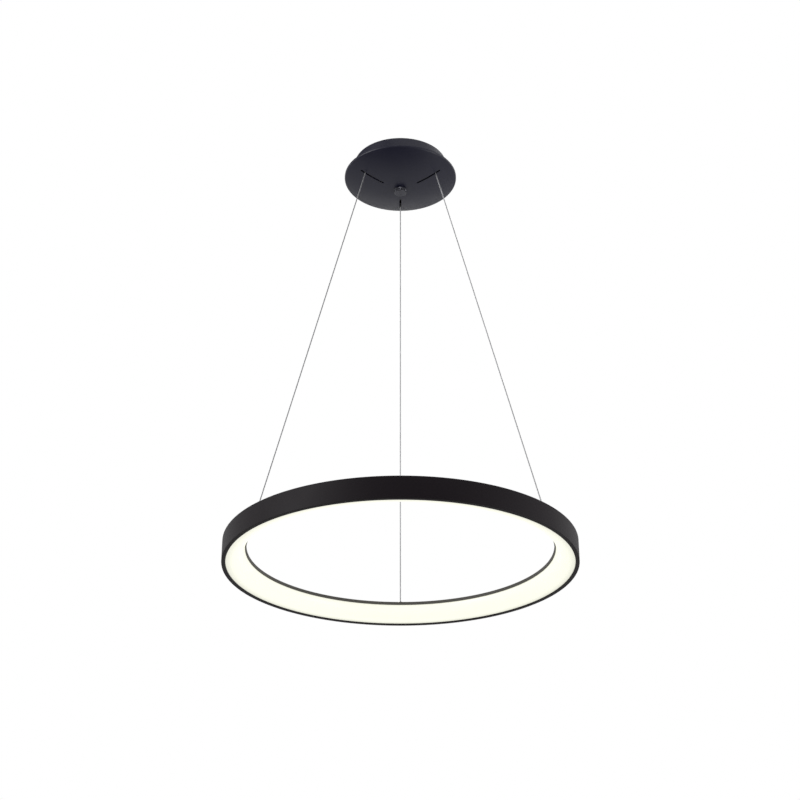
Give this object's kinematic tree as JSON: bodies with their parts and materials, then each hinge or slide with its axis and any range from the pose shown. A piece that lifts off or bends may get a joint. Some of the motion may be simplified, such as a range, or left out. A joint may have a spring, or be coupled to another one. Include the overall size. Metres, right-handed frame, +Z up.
{
  "type": "led pendant light",
  "caption": "Slim round ring pendant lamp with a rounded opal diffuser inside a black profile, hung level on thin steel wires from a domed ceiling canopy.",
  "frame": {"origin": "on the ceiling, at the middle of the canopy", "axes": "+Z up along the lamp's axis, +X along the line of the two screw slots"},
  "size_m": [0.58, 0.58, 0.796],
  "materials": {
    "canopy_black": "fine satin powder coat, black",
    "ring_black": "fine matt powder coat, black",
    "opal": "opal acrylic, satin",
    "wire_steel": "bare stranded steel",
    "zinc_steel": "zinc plated",
    "bracket_steel": "pressed, zinc plated",
    "nickel_brass": "turned, nickel plated",
    "black_nickel": "turned, black nickel plated",
    "spring_steel": "bright spring wire",
    "nylon": "moulded nylon, natural",
    "black_rubber": "soft moulded",
    "driver_white": "moulded, white",
    "terminal_white": "moulded, natural",
    "circuit_green": "solder resist",
    "ferrite_dark": "wound core in tape",
    "capacitor_black": "sleeved can",
    "board_white": "white solder resist on aluminium",
    "chip_yellow": "phosphor over a white body",
    "reflector_white": "diffuse white film",
    "lead_insulation": "thin sleeve over copper strands"
  },
  "bodies": {
    "canopy": {"bracket_rivets": "zinc_steel", "cable_grommet": "black_rubber", "ceiling_pan": "canopy_black", "centre_spacer": "zinc_steel", "centre_stud": "zinc_steel", "driver_board": "circuit_green", "driver_capacitors": "capacitor_black", "driver_case": "driver_white", "driver_lid": "driver_white", "driver_screws": "zinc_steel", "driver_transformer": "ferrite_dark", "earth_screw": "nickel_brass", "gripper_body_1": "nickel_brass", "gripper_body_2": "nickel_brass", "gripper_body_3": "nickel_brass", "gripper_bushes": "nylon", "gripper_nuts": "nickel_brass", "gripper_spring_1": "spring_steel", "gripper_spring_2": "spring_steel", "gripper_spring_3": "spring_steel", "mains_leads": "lead_insulation", "output_leads": "lead_insulation", "output_lugs": "nickel_brass", "pan_screws": "zinc_steel", "stud_nut": "zinc_steel", "suspension_wire_1": "wire_steel", "suspension_wire_2": "wire_steel", "suspension_wire_3": "wire_steel", "terminal_block": "terminal_white", "terminal_screws": "nickel_brass", "wire_bracket_1": "bracket_steel", "wire_bracket_2": "bracket_steel", "wire_bracket_3": "bracket_steel"},
    "cover": {"canopy_cover": "canopy_black"},
    "nut": {"cover_nut": "black_nickel", "cover_washer": "nylon"},
    "ring": {"ring_housing": "ring_black", "diffuser": "opal", "reflector_band": "reflector_white", "led_chips": "chip_yellow", "board_rivets": "zinc_steel", "board_links": "nickel_brass", "feed_leads": "lead_insulation", "anchor_nuts": "nickel_brass", "anchor_bushes": "nylon", "wire_ferrules": "nickel_brass", "anchor_1": "nickel_brass", "anchor_2": "nickel_brass", "anchor_3": "nickel_brass", "led_board_1": "board_white", "led_board_2": "board_white", "led_board_3": "board_white", "led_board_4": "board_white"},
    "plunger_1": {"gripper_plunger_1": "black_nickel"},
    "plunger_2": {"gripper_plunger_2": "black_nickel"},
    "plunger_3": {"gripper_plunger_3": "black_nickel"}
  },
  "joints": [
    {"name": "height_adjust", "type": "slide", "parent": "canopy", "child": "ring", "axis": [0, 0, 1], "range_m": [0, 0.25], "deforming": ["suspension_wire_1", "suspension_wire_2", "suspension_wire_3"]},
    {"name": "cover_drop", "type": "slide", "parent": "canopy", "child": "cover", "axis": [0, 0, -1], "range_m": [0, 0.03]},
    {"name": "nut_turn", "type": "hinge", "parent": "cover", "child": "nut", "pos_m": [0, 0, -0.058], "axis": [0, 0, 1], "continuous": true},
    {"name": "gripper_release_1", "type": "slide", "parent": "canopy", "child": "plunger_1", "axis": [0, -0.2544, 0.9671], "range_m": [0, 0.0025], "stiffness_N_per_m": 900, "springref_m": -0.002, "deforming": ["gripper_spring_1"]},
    {"name": "gripper_release_2", "type": "slide", "parent": "canopy", "child": "plunger_2", "axis": [0.2203, 0.1272, 0.9671], "range_m": [0, 0.0025], "stiffness_N_per_m": 900, "springref_m": -0.002, "deforming": ["gripper_spring_2"]},
    {"name": "gripper_release_3", "type": "slide", "parent": "canopy", "child": "plunger_3", "axis": [-0.2203, 0.1272, 0.9671], "range_m": [0, 0.0025], "stiffness_N_per_m": 900, "springref_m": -0.002, "deforming": ["gripper_spring_3"]}
  ]
}
